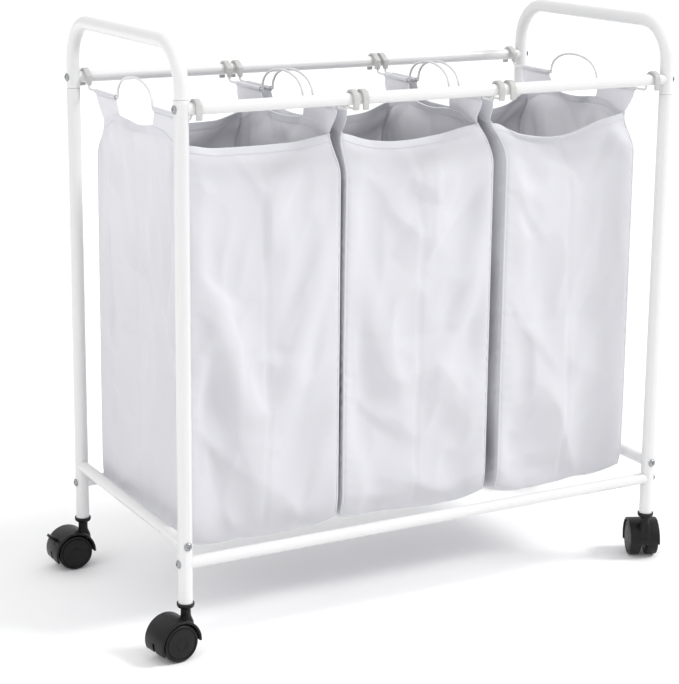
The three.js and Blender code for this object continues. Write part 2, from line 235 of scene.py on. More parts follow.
def place(obj, matrix):
    """Move a piece's mesh; the object itself stays at the origin."""
    obj.data.transform(matrix)
    return obj


def upright(point, direction):
    """The matrix that stands a piece's +Z along a direction, at a point."""
    turn = Vector((0, 0, 1)).rotation_difference(Vector(direction)).to_matrix().to_4x4()
    return Matrix.Translation(point) @ turn


def cylinder(name, radius, start, end, facets=48):
    """A solid bar between two points."""
    start, end = Vector(start), Vector(end)
    clear_bench()
    bpy.ops.mesh.primitive_cylinder_add(
        vertices=facets, radius=radius, depth=(end - start).length)
    return place(named(name), upright((start + end) / 2, end - start))


def apply_modifier(obj, kind, **settings):
    pick(obj)
    modifier = obj.modifiers.new(kind.title(), kind)
    for key, value in settings.items():
        setattr(modifier, key, value)
    bpy.ops.object.modifier_apply(modifier=modifier.name)


def join(obj, *others, cut=False):
    """Weld other solids to a piece, or cut them out of it."""
    for other in others:
        apply_modifier(obj, "BOOLEAN", operation="DIFFERENCE" if cut else "UNION",
                       object=other, solver="EXACT")
        bpy.data.objects.remove(other)
    return obj


def soften(obj, width, segments=2, angle=35):
    """Round the sharp edges."""
    apply_modifier(obj, "BEVEL", width=width, segments=segments, limit_method="ANGLE",
                   angle_limit=math.radians(angle), use_clamp_overlap=True)
    return obj


def shade(obj, angle=35):
    pick(obj)
    bpy.ops.object.shade_smooth_by_angle(angle=math.radians(angle))


def copy_of(master, name, matrix):
    """A copy with its own mesh, moved to its place."""
    pick(master)
    bpy.ops.object.duplicate(linked=False)
    made = bpy.context.object
    made.name = name
    made.data.name = name
    return place(made, matrix)


def fit(obj, body, slot, *nodes):
    """Put a finished piece on its body, in place of its CAD nodes."""
    obj.data.materials.clear()
    obj.data.materials.append(finish(slot))
    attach(obj, body)
    if nodes:
        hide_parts(*nodes)
    return obj


def rod_path(name, points, radius, facets=3):
    """A round bar through points."""
    clear_bench()
    bpy.ops.curve.primitive_nurbs_path_add()
    obj = bpy.context.object
    obj.name = name
    curve = obj.data
    curve.bevel_depth = radius
    curve.bevel_resolution = facets
    curve.use_fill_caps = True
    spline = curve.splines[0]
    spline.type = "POLY"
    spline.points.add(len(points) - len(spline.points))
    for knot, point in zip(spline.points, points):
        knot.co = (*point, 1)
    bpy.ops.object.convert(target="MESH")
    return named(name)


# ---------------------------------------------------------------- finishes


def blank(name):
    """A new node material: itself, its shader, and short makers of nodes and links."""
    material = bpy.data.materials.new(name)
    material.use_nodes = True
    tree = material.node_tree

    def add(kind, **values):
        node = tree.nodes.new("ShaderNode" + kind)
        for key, value in values.items():
            if key in node.inputs:
                node.inputs[key].default_value = value
            else:
                setattr(node, key, value)
        return node

    return material, tree.nodes["Principled BSDF"], add, tree.links.new


def tinted(add, link, factor, base, low, high, socket):
    """Vary a colour a little, from low to high times its base, by a factor."""
    ramp = add("ValToRGB")
    for stop, share in zip(ramp.color_ramp.elements, (low, high)):
        stop.color = (*[channel * share for channel in base], 1)
    link(factor, ramp.inputs["Fac"])
    link(ramp.outputs["Color"], socket)


def ranged(add, link, factor, low, high, socket):
    """Map a factor from 0..1 to a range."""
    span = add("MapRange")
    span.inputs["To Min"].default_value = low
    span.inputs["To Max"].default_value = high
    link(factor, span.inputs["Value"])
    link(span.outputs["Result"], socket)


def bumped(add, link, height, distance, strength, socket):
    bump = add("Bump", Strength=strength, Distance=distance)
    link(height, bump.inputs["Height"])
    link(bump.outputs["Normal"], socket)
    return bump


def speckled(name, base, grain, cloud, tint, rough, relief, **sockets):
    """A hard surface: a fine grain in its relief, and a cloudy noise in colour and gloss."""
    material, shader, add, link = blank(name)
    where = add("TexCoord").outputs["Object"]
    grain, cloud = add("TexNoise", **grain), add("TexNoise", **cloud)
    link(where, grain.inputs["Vector"])
    link(where, cloud.inputs["Vector"])
    tinted(add, link, cloud.outputs["Fac"], base, *tint, shader.inputs["Base Color"])
    ranged(add, link, cloud.outputs["Fac"], *rough, shader.inputs["Roughness"])
    bumped(add, link, grain.outputs["Fac"], *relief, shader.inputs["Normal"])
    for socket, value in sockets.items():
        shader.inputs[socket].default_value = value
    return material


def coated_metal(name, base, peel=700):
    """White powder coat: fine orange peel, soft gloss, a trace of handling grime."""
    return speckled(
        name, base, {"Scale": peel, "Detail": 2.0, "Roughness": 0.5},
        {"Scale": 14.0, "Detail": 4.0, "Roughness": 0.6}, (0.97, 1.02), (0.27, 0.4),
        (0.00006, 0.5), **{"Coat Weight": 0.25, "Coat Roughness": 0.12})


def moulded(name, base, rough, texture=1400, scuff=0.0):
    """Moulded plastic: spark-eroded grain, faint flow marks, scuffed high spots."""
    return speckled(
        name, base, {"Scale": texture, "Detail": 3.0, "Roughness": 0.6},
        {"Scale": 55.0, "Detail": 5.0, "Roughness": 0.65, "Distortion": 0.6},
        (0.8, 1.25 + scuff), (rough - 0.08, rough + 0.1), (0.00008, 0.45),
        **{"Specular IOR Level": 0.24})


def plated(name, base):
    """Bright zinc: turned brushing and a slightly clouded passivation."""
    return speckled(
        name, base, {"Scale": 2600.0, "Detail": 2.0, "Roughness": 0.5},
        {"Scale": 260.0, "Detail": 4.0, "Roughness": 0.6}, (0.75, 1.15), (0.24, 0.42),
        (0.00003, 0.4), Metallic=1.0)


def woven(name, base):
    """White polyester: plain weave on the UV map in metres, slubs, and a soft sheen."""
    material, shader, add, link = blank(name)
    coordinates = add("TexCoord")
    warp = add("TexWave", Scale=520.0, Distortion=0.4, bands_direction="X")
    weft = add("TexWave", Scale=520.0, Distortion=0.4, bands_direction="Y")
    for wave in (warp, weft):
        link(coordinates.outputs["UV"], wave.inputs["Vector"])
    weave = add("Math", operation="MULTIPLY")
    link(warp.outputs["Fac"], weave.inputs[0])
    link(weft.outputs["Fac"], weave.inputs[1])
    slub = add("TexNoise", Scale=120.0, Detail=4.0, Roughness=0.6)
    shade_noise = add("TexNoise", Scale=7.0, Detail=3.0, Roughness=0.5)
    for texture in (slub, shade_noise):
        link(coordinates.outputs["Object"], texture.inputs["Vector"])
    tinted(add, link, shade_noise.outputs["Fac"], base, 0.97, 1.02, shader.inputs["Base Color"])
    ranged(add, link, slub.outputs["Fac"], 0.62, 0.8, shader.inputs["Roughness"])
    threads = bumped(add, link, weave.outputs["Value"], 0.00005, 0.35, shader.inputs["Normal"])
    soft = add("Bump", Strength=0.3, Distance=0.0004)
    link(slub.outputs["Fac"], soft.inputs["Height"])
    link(soft.outputs["Normal"], threads.inputs["Normal"])
    for socket, value in (
            ("Subsurface Weight", 0.25), ("Subsurface Radius", (1, 1, 1)),
            ("Subsurface Scale", 0.004), ("Sheen Weight", 0.2), ("Sheen Roughness", 0.4)):
        shader.inputs[socket].default_value = value
    return material


def finish(slot):
    """The material of a slot, made once."""
    name = slot + "_finish"
    ready = bpy.data.materials.get(name)
    if ready:
        return ready
    tones = bpy.context.scene.sorter_finishes
    makers = {
        "white_powder_coat": (coated_metal, tones.paint),
        "white_wire": (coated_metal, tones.wire, 1100),
        "zinc_plate": (plated, tones.zinc),
        "black_plastic": (moulded, tones.nylon, 0.36),
        "black_tread": (moulded, tones.tread, 0.44, 900, 0.5),
        "grey_plastic": (moulded, tones.hook, 0.48, 1100),
        "white_polyester": (woven, tones.cloth),
    }
    make, *look = makers[slot]
    return make(name, *look)


# ---------------------------------------------------------------- cart

PLUGGED_LEG = "front_left"      # the one leg whose swaged top takes its handle's neck
BORE_RADIUS = 8.3
NECK_RADIUS = 7.7
NECK_BORE = 6.6


def seam_height(name):
    """Height of the joint between a leg and its handle."""
    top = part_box("leg_" + name)[1].z
    return top if name == PLUGGED_LEG else top - NECK_LENGTH


def fasteners_of(name):
    """Each fastener of a corner: its node, its height on the post, and which way it faces."""
    sideways = Vector((side_sign(name), 0, 0))
    for kind, facing in (("rod_bolt_", sideways), ("long_rail_bolt_", sideways),
                         ("side_rail_screw_", Vector((0, end_sign(name), 0)))):
        post = middle("leg_" + name)
        yield kind + name, Vector((post.x, post.y, middle(kind + name).z)), facing


def press_dimples(obj, name, sizes, low, high):
    """Press a shallow dish into a tube round each bolt between two heights."""
    reach = sizes.tube_radius + sizes.dimple_radius - sizes.dimple_depth
    for _, point, facing in fasteners_of(name):
        if low < point.z < high:
            clear_bench()
            centre = point + facing * reach
            bpy.ops.mesh.primitive_uv_sphere_add(
                segments=48, ring_count=24, radius=sizes.dimple_radius, location=centre)
            join(obj, named("dimple"), cut=True)


class SORTER_OT_legs(bpy.types.Operator):
    """Turn the four legs, with their necks or swaged lip, and press their bolt dimples"""

    bl_idname = "sorter.legs"
    bl_label = "Legs"

    def execute(self, context):
        sizes = context.scene.sorter_cart
        radius, lip = sizes.tube_radius / MM, sizes.lip / MM
        for name in CORNERS:
            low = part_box("leg_" + name)[0]
            foot, top = low.z / MM, seam_height(name) / MM
            if name == PLUGGED_LEG:
                step = top - sizes.lip_height / MM
                head = [(radius, step - 0.8), (radius + lip * 0.8, step), (radius + lip, step + 0.8),
                        (radius + lip, top - 0.8), (radius + lip - 0.4, top - 0.1),
                        (radius - 0.5, top), (BORE_RADIUS, top - 0.5)]
            else:
                head = [(radius, top - 0.6), (radius - 0.2, top - 0.15), (radius - 0.6, top),
                        (NECK_RADIUS, top), (NECK_RADIUS, top + NECK_LENGTH / MM),
                        (NECK_BORE, top + NECK_LENGTH / MM), (NECK_BORE, top - 3),
                        (BORE_RADIUS, top - 4)]
            leg = turned("tube_leg_" + name, [(radius, foot), *head, (BORE_RADIUS, foot)],
                         sizes.facets)
            post = middle("leg_" + name)
            place(leg, Matrix.Translation((post.x, post.y, 0)))
            press_dimples(leg, name, sizes, low.z, top * MM)
            shade(leg)
            fit(leg, "cart", "white_powder_coat", "leg_" + name)
        return {"FINISHED"}


class SORTER_OT_handles(bpy.types.Operator):
    """Bend the two end handles and open their ends over the legs' necks"""

    bl_idname = "sorter.handles"
    bl_label = "Handles"

    def execute(self, context):
        sizes = context.scene.sorter_cart
        bend = sizes.bend_radius
        for side in SIDES:
            front, rear = middle("leg_front_" + side), middle("leg_rear_" + side)
            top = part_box("handle_" + side)[1].z - sizes.tube_radius
            start = seam_height("front_" + side) + SEAM_GAP
            stop = seam_height("rear_" + side) + SEAM_GAP
            clear_bench()
            bpy.ops.mesh.primitive_circle_add(
                vertices=sizes.facets, radius=sizes.tube_radius, fill_type="NGON",
                location=(front.x, front.y, start))
            tube = named("tube_handle_" + side)
            bpy.ops.object.mode_set(mode="EDIT")
            bpy.ops.mesh.select_mode(type="FACE")
            bpy.ops.mesh.select_all(action="SELECT")
            self.extrude((0, 0, top - bend - start))
            self.bend((front.x, front.y + bend, top - bend))
            self.extrude((0, rear.y - front.y - 2 * bend, 0))
            self.bend((front.x, rear.y - bend, top - bend))
            self.extrude((0, 0, stop - top + bend))
            tidy_mesh()
            for end, post, low in (("front_", front, start), ("rear_", rear, stop)):
                name = end + side
                press_dimples(tube, name, sizes, low, top)
                foot, tip = low / MM, NECK_LENGTH / MM
                spot = Matrix.Translation((post.x, post.y, 0))
                if name == PLUGGED_LEG:
                    neck = turned("neck", [
                        (0, foot - tip), (NECK_RADIUS - 0.8, foot - tip),
                        (NECK_RADIUS, foot - tip + 0.8), (NECK_RADIUS, foot + 2), (0, foot + 2)],
                        sizes.facets)
                    join(tube, place(neck, spot))
                else:
                    socket = turned("socket", [
                        (0, foot - 1), (BORE_RADIUS + 0.4, foot - 1), (BORE_RADIUS + 0.4, foot + 0.3),
                        (BORE_RADIUS, foot + 0.8), (BORE_RADIUS, foot + tip + 4), (0, foot + tip + 4)],
                        sizes.facets)
                    join(tube, place(socket, spot), cut=True)
            shade(tube)
            fit(tube, "cart", "white_powder_coat", "handle_" + side)
        return {"FINISHED"}

    def extrude(self, step):
        bpy.ops.mesh.extrude_region_move(TRANSFORM_OT_translate={"value": step})

    def bend(self, centre):
        bpy.ops.mesh.spin(steps=18, angle=math.pi / 2, center=centre, axis=(1, 0, 0))


class SORTER_OT_rails(bpy.types.Operator):
    """Cut the rods and rails to length and cope their ends to the posts"""

    bl_idname = "sorter.rails"
    bl_label = "Rods and rails"

    def execute(self, context):
        sizes = context.scene.sorter_cart
        ends = {}
        for kind in ("hanging_rod_", "long_rail_"):
            for end in ("front", "rear"):
                ends[kind + end] = (end + "_left", end + "_right")
        for side in SIDES:
            ends["side_rail_" + side] = ("front_" + side, "rear_" + side)
        for node, (first, last) in ends.items():
            height = middle(node).z
            posts = [middle("leg_" + name) for name in (first, last)]
            start, stop = [Vector((post.x, post.y, height)) for post in posts]
            rail = cylinder("tube_" + node, sizes.rail_radius, start, stop, sizes.facets)
            for point in (start, stop):
                reach = Vector((0, 0, 2 * sizes.rail_radius))
                join(rail, cylinder("post", sizes.tube_radius + 0.1 * MM,
                                    point - reach, point + reach, sizes.facets), cut=True)
            shade(rail)
            fit(rail, "cart", "white_powder_coat", node)
        return {"FINISHED"}


class SORTER_OT_fasteners(bpy.types.Operator):
    """Turn the pan-head bolts and screws, with their cross recesses"""

    bl_idname = "sorter.fasteners"
    bl_label = "Bolts and screws"

    def execute(self, context):
        sizes = context.scene.sorter_cart
        radius = sizes.bolt_radius / MM
        shank, depth = 2.9, 36
        bolt = turned("bolt", [
            (0, 3.0), (0.35 * radius, 2.9), (0.65 * radius, 2.5), (0.86 * radius, 1.8),
            (0.97 * radius, 1.0), (radius, 0.3), (0.98 * radius, 0), (shank, 0),
            (shank, -depth), (0, -depth)], 40)
        arm = 0.52 * radius
        for turn in (0, math.pi / 2):
            blade = slab("blade", [(-arm, 1.5), (arm, 1.5), (0.6 * arm, 4), (-0.6 * arm, 4)], 0.55 * MM)
            join(bolt, place(blade, Matrix.Rotation(turn, 4, "Z")), cut=True)
        soften(bolt, 0.12 * MM, 1, 50)
        shade(bolt)
        seat = sizes.tube_radius - 0.3 * sizes.dimple_depth
        for index, name in enumerate(CORNERS):
            for node, point, facing in fasteners_of(name):
                slant = Matrix.Rotation(math.radians(25 + 37 * index), 4, "Z")
                spot = upright(point + facing * seat, facing)
                fit(copy_of(bolt, node + "_head", spot @ slant), "cart", "zinc_plate", node)
        bpy.data.objects.remove(bolt)
        return {"FINISHED"}


# ---------------------------------------------------------------- casters

TRAIL = 19                # stem to axle, in the caster's own frame, trailing along +X
HOOD_ARC = (-24, 183)     # degrees round the axle, from the trailing side over to the stem side
LEVER_ARC = (26, 50)
LEVER_HALF = 6.5 * MM     # half the width of the brake lever
LEVER_ROOM = 0.3 * MM
SLOT_HALF = 2.6 * MM      # half the width of the slot in the hood's trailing side
WEB_HALF = 2.5 * MM
AXLE_RADIUS = 2.9
STEM_RADIUS = 4
STEM_ABOVE = 23           # how far the stem goes up into the leg


def caster_place(name):
    """The matrix from a caster's own frame to its corner."""
    stem = Vector(JOINTS["swivel_" + name]["pos_m"])
    axle = Vector(JOINTS["roll_" + name]["pos_m"])
    turn = math.atan2(axle.y - stem.y, axle.x - stem.x)
    return Matrix.Translation((stem.x, stem.y, 0)) @ Matrix.Rotation(turn, 4, "Z")


class SORTER_OT_casters(bpy.types.Operator):
    """Model the sockets, the hoods with and without a brake, the wheels and the levers"""

    bl_idname = "sorter.casters"
    bl_label = "Casters"

    def execute(self, context):
        self.sizes = context.scene.sorter_caster
        self.axle = (TRAIL, self.sizes.wheel_radius / MM)
        masters = {
            "hood": self.make_hood(False), "brake_hood": self.make_hood(True),
            "lever": self.make_lever(), "wheels": self.make_wheels(), "socket": self.make_socket()}
        for name in CORNERS:
            matrix = caster_place(name)
            braked = "brake_lever_" + name in frame["nodes"]
            hood = masters["brake_hood" if braked else "hood"]
            body = "caster_" + name
            fit(copy_of(hood, "hood_" + name, matrix), body, "black_plastic", "caster_hood_" + name)
            fit(copy_of(masters["wheels"], "twin_wheels_" + name, matrix), "wheels_" + name,
                "black_tread", "caster_wheels_" + name)
            post = middle("leg_" + name)
            socket = copy_of(masters["socket"], "socket_" + name,
                             Matrix.Translation((post.x, post.y, 0)))
            fit(socket, "cart", "black_plastic", "caster_socket_" + name)
            if braked:
                lever = copy_of(masters["lever"], "lever_" + name, matrix)
                fit(lever, "brake_" + name, "black_plastic", "brake_lever_" + name)
        for master in masters.values():
            bpy.data.objects.remove(master)
        return {"FINISHED"}

    def sector(self, name, inner, outer, arc_ends, half_width, steps=48):
        """A slab between two radii round the axle."""
        start, stop = arc_ends
        profile = [*arc(*self.axle, outer, start, stop, steps),
                   *arc(*self.axle, inner, stop, start, steps)]
        return slab(name, profile, half_width)

    def make_hood(self, braked):
        sizes = self.sizes
        outer = sizes.hood_radius / MM
        inner = outer - sizes.hood_wall / MM
        hood = self.sector("hood", inner, outer, HOOD_ARC, sizes.hood_half_width)
        soften(hood, 1.1 * MM, 3, 50)
        boss = [*arc(*self.axle, inner + 1, *HOOD_ARC, 40), *arc(*self.axle, 7.5, 215, 305, 8)]
        web = slab("web", boss, WEB_HALF)
        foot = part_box("leg_front_left")[0].z / MM
        under = foot - 3.8
        width = sizes.column_radius / MM
        column = turned("column", [
            (0, 34), (width + 5, 34), (width + 3.4, 46), (width + 1.6, 50), (width + 0.4, 53),
            (width, 56), (width, under), (0, under)])
        axle_ends = [(TRAIL * MM, end * 30 * MM, sizes.wheel_radius) for end in (-1, 1)]
        room = cylinder("room", (outer - 1.5) * MM, *axle_ends, 64)
        join(column, room, cut=True)
        top = foot + STEM_ABOVE
        stem = turned("stem", [(0, under - 8), (STEM_RADIUS, under - 8), (STEM_RADIUS, top - 1),
                               (STEM_RADIUS - 1, top), (0, top)], 32)
        join(hood, web, column, stem)
        axle = cylinder("axle", (AXLE_RADIUS + 0.3) * MM, *axle_ends, 32)
        slot = self.sector("slot", inner - 1, outer + 2, (HOOD_ARC[0] - 4, 2), SLOT_HALF, 6)
        join(hood, axle, slot, cut=True)
        if braked:
            opening = (LEVER_ARC[0] - 1, LEVER_ARC[1] + 1)
            half = LEVER_HALF + LEVER_ROOM
            join(hood, self.sector("opening", inner - 1, outer + 3, opening, half, 12), cut=True)
        shade(hood)
        return hood

    def make_lever(self):
        outer = self.sizes.hood_radius / MM
        inner = outer - self.sizes.hood_wall / MM
        lever = self.sector("lever", inner + 0.4, outer, LEVER_ARC, LEVER_HALF, 12)
        tab = [*arc(*self.axle, outer - 1.4, 33, 43, 3), *arc(*self.axle, outer + 12, 39.5, 34.5, 2)]
        join(lever, slab("tab", tab, LEVER_HALF))
        soften(lever, 0.7 * MM, 3, 40)
        shade(lever)
        return lever

    def make_wheels(self):
        radius = self.sizes.wheel_radius / MM
        face = self.sizes.wheel_face / MM
        half = [(AXLE_RADIUS, 4.0), (radius - 1.6, 4.0), (radius - 0.5, 4.7), (radius, 6.0),
                (radius, face - 2.6), (radius - 0.4, face - 1.4), (radius - 1.2, face - 0.7),
                (radius - 2.6, face - 0.4), (radius - 3.4, face - 0.9), (radius - 3.8, face - 1.7),
                (radius - 4.4, face - 1.7), (radius - 4.9, face - 0.8), (16, face - 0.35),
                (12, face - 0.15), (8.8, face - 0.1), (8.4, face - 0.6), (7.8, face - 0.6),
                (7.4, face - 0.05), (4, face), (0, face)]
        profile = [*half, *[(r, -h) for r, h in reversed(half)]]
        wheels = turned("wheels", profile, 72)
        centre = Matrix.Translation((TRAIL * MM, 0, self.sizes.wheel_radius))
        place(wheels, centre @ Matrix.Rotation(math.pi / 2, 4, "X"))
        shade(wheels, 25)
        return wheels

    def make_socket(self):
        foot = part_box("leg_front_left")[0].z / MM
        cup = self.sizes.collar_radius / MM
        bore, plug, tube = STEM_RADIUS + 0.3, NECK_RADIUS, 9.7
        socket = turned("socket", [
            (bore, foot - 3.5), (cup - 3.2, foot - 3.5), (cup - 1.0, foot - 2.0),
            (cup - 0.2, foot - 0.6), (cup, foot + 1.0), (cup, foot + 3.1), (cup - 0.4, foot + 3.6),
            (tube + 0.2, foot + 3.6), (tube, foot + 3.2), (tube, foot - 0.3), (plug, foot - 0.3),
            (plug, foot + STEM_ABOVE), (bore, foot + STEM_ABOVE)], 64)
        shade(socket)
        return socket


# ---------------------------------------------------------------- hangers

ARCH_MIDDLE = 8 * MM       # the carry arches stand a little behind the middle
ARCH_HALF = 58 * MM
WIRE_TURN = 5 * MM
HOOK_THICKNESS = 4
HOOK_WIDTH = 8.5
SLEEVE_TOP = {-1: -55 * MM, 1: 71 * MM}     # inner corner of the front and rear tab


def wire_reach(bag, side):
    """How far in front of and behind the middle the hanger wire turns up into its hooks."""
    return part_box(f"hanger_wire_{bag}_{side}")[1].y - bpy.context.scene.sorter_bag.wire_radius


def wire_level(bag, side):
    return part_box(f"hanger_wire_{bag}_{side}")[0].z + bpy.context.scene.sorter_bag.wire_radius


def hanger_line(bag, side):
    """A function from y to the x of that hanger wire."""
    front, rear = (middle(f"hook_{bag}_{side}_{end}").x for end in ("front", "rear"))
    reach = wire_reach(bag, side)
    return lambda y: front + (rear - front) * (y + reach) / (2 * reach)


class SORTER_OT_wires(bpy.types.Operator):
    """Bend the hanger wires: hook end, straight, carry arch, straight, hook end"""

    bl_idname = "sorter.wires"
    bl_label = "Hanger wires"

    def execute(self, context):
        radius = context.scene.sorter_bag.wire_radius
        for bag in BAGS:
            for side in SIDES:
                name = f"hanger_wire_{bag}_{side}"
                reach, level = wire_reach(bag, side), wire_level(bag, side)
                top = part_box(name)[1].z
                along = hanger_line(bag, side)
                end = [(reach, level + WIRE_TURN + 8 * MM),
                       *arc(reach - WIRE_TURN, level + WIRE_TURN, WIRE_TURN, 0, -90, 6)]
                arch = []
                for step in range(31):
                    angle = math.pi * step / 30
                    arch.append((ARCH_MIDDLE + ARCH_HALF * math.cos(angle),
                                 level + (top - radius - level) * math.sin(angle) ** 0.8))
                foot = 4 * MM
                route = [*end, (arch[0][0] + foot, level), *arch, (arch[-1][0] - foot, level),
                         *[(-y, z) for y, z in reversed(end)]]
                wire = rod_path("wire_" + f"{bag}_{side}", [(along(y), y, z) for y, z in route],
                                radius)
                shade(wire, 60)
                fit(wire, bag + "_bag", "white_wire", name)
        return {"FINISHED"}


class SORTER_OT_hooks(bpy.types.Operator):
    """Mould the hooks that clip the wires' ends over the rods"""

    bl_idname = "sorter.hooks"
    bl_label = "Hooks"

    def execute(self, context):
        rod = context.scene.sorter_cart.rail_radius / MM
        inner, outer = rod + 0.3, rod + 0.3 + HOOK_THICKNESS
        reach = wire_reach("left", "left") / MM
        rod_y = middle("hanging_rod_rear").y / MM
        arm = reach - rod_y
        half_arm = 3.5
        low = wire_level("left", "left") / MM + WIRE_TURN / MM + 0.5 - middle("hanging_rod_rear").z / MM
        profile = [(outer - 0.8, -14), (outer, -11), *arc(0, 0, outer, 0, 146, 18),
                   (arm - half_arm, 3), (arm - half_arm + 0.3, low), (arm + half_arm - 0.3, low),
                   (arm + half_arm, -6), (arm + half_arm + 1.2, -2.5),
                   *arc(0, 0, inner, 163, 0, 18), (inner, -11), (inner + 0.6, -14)]
        hook = slab("hook", profile, HOOK_WIDTH * MM / 2)
        self.taper(hook, arm * MM, low * MM)
        soften(hook, 1.0 * MM, 3, 32)
        shade(hook)
        for bag in BAGS:
            for side in SIDES:
                for end in ("front", "rear"):
                    node = f"hook_{bag}_{side}_{end}"
                    sign = end_sign(end)
                    centre = middle("hanging_rod_" + end)
                    spot = Matrix.Translation((middle(node).x, centre.y, centre.z))
                    turn = Matrix.Rotation(sign * math.pi / 2, 4, "Z")
                    made = copy_of(hook, node + "_clip", spot @ turn)
                    fit(made, bag + "_bag", "grey_plastic", node)
        bpy.data.objects.remove(hook)
        return {"FINISHED"}

    def taper(self, hook, arm, low):
        """Draw the arm in towards the wire at its lower end."""
        for vertex in hook.data.vertices:
            if vertex.co.x < arm / 2 and vertex.co.z < 3 * MM:
                share = min((3 * MM - vertex.co.z) / (3 * MM - low), 1)
                vertex.co.y *= 1 - 0.3 * share


# ---------------------------------------------------------------- bags

TAB_ROWS = 4              # rows of cells up each tab
SLEEVE_ROWS = 9           # rows of cells round the wire
ROW = 0.1                 # height of those rows before they are placed
TAB_EDGE = 7 / 16         # where a tab starts, as a share of the half depth
DEPTH_CELLS = 32
SLEEVE_GAP = 1.4 * MM     # from the wire to the cloth round it
NEAR = 0.001              # tolerance on the box of cells
RIM_RISE = 14 * MM        # the side panels' top edges rise between the tabs
TAB_SHIFT = 4 * MM        # the gap between the tabs sits a little to the rear
TAB_FLARE = 20 * MM       # how far a tab's outer edge leans out of the rim
SHOULDER = 46 * MM        # height over which a bag widens below its rim
FOOT_TUCK, FOOT_HEIGHT = 6 * MM, 28 * MM
CORNER_LIFT = 5 * MM      # how far the bottom's corners stand off its middle
BULGE, SIDE_BULGE = 7 * MM, 3 * MM
# how far each bag's left and right wall stand from their hangers at the front, in millimetres
WALL_SHIFT = {"left": (1, 6), "middle": (-3, 20), "right": (22, 2)}
# how far each front rim sags, and where along its width it is lowest
SAG = {"left": (2 * MM, 0.5), "middle": (9 * MM, 0.45), "right": (15 * MM, 0.48)}
CLOTH = {
    "vertex_group_mass": "pinned", "quality": 6, "mass": 0.15, "tension_stiffness": 25,
    "compression_stiffness": 25, "shear_stiffness": 8, "bending_stiffness": 0.35,
    "use_pressure": True, "uniform_pressure_force": 0.35}
# heights of the folds, packing creases and seam puckers, in millimetres
COARSE_FOLDS, FINE_FOLDS, PACKING, PUCKERS = 9.5, 3.6, 1.3, 2.0
PACKING_WIDTH = 0.014
# folds in the front panels: start and stop as shares of width and height, height in
# millimetres, and the width of the long slope
FOLDS = {
    "left": (((0.36, 0.99), (0.53, 0.88), 4, 0.07), ((0.56, 0.80), (0.78, 0.97), 4, 0.08),
             ((0.53, 0.90), (0.56, 0.72), 4, 0.06), ((0.98, 0.80), (0.60, 0.50), 5, 0.10),
             ((0.02, 0.74), (0.40, 0.60), -4, 0.09), ((0.06, 0.30), (0.46, 0.16), 4, 0.09),
             ((0.94, 0.34), (0.52, 0.22), -4, 0.08)),
    "middle": (((0.62, 0.83), (0.42, 0.90), -5, 0.08), ((0.62, 0.83), (0.64, 0.97), 4, 0.05),
               ((0.62, 0.83), (0.34, 0.70), 5, 0.09), ((0.99, 0.87), (0.56, 0.66), -6, 0.10),
               ((0.62, 0.83), (0.56, 0.64), 4, 0.06), ((0.98, 0.68), (0.72, 0.50), 4, 0.08),
               ((0.04, 0.34), (0.44, 0.22), 4, 0.09)),
    "right": (((0.46, 0.99), (0.62, 0.86), -5, 0.08), ((0.98, 0.99), (0.62, 0.80), 5, 0.09),
              ((0.02, 0.86), (0.36, 0.70), 4, 0.09), ((0.96, 0.62), (0.52, 0.46), -4, 0.09),
              ((0.10, 0.52), (0.48, 0.34), 4, 0.09), ((0.90, 0.26), (0.50, 0.14), 4, 0.08)),
}
PANEL_SHAPE = 0.45        # width of a front panel over its height


def ease(value):
    value = min(max(value, 0), 1)
    return value * value * (3 - 2 * value)


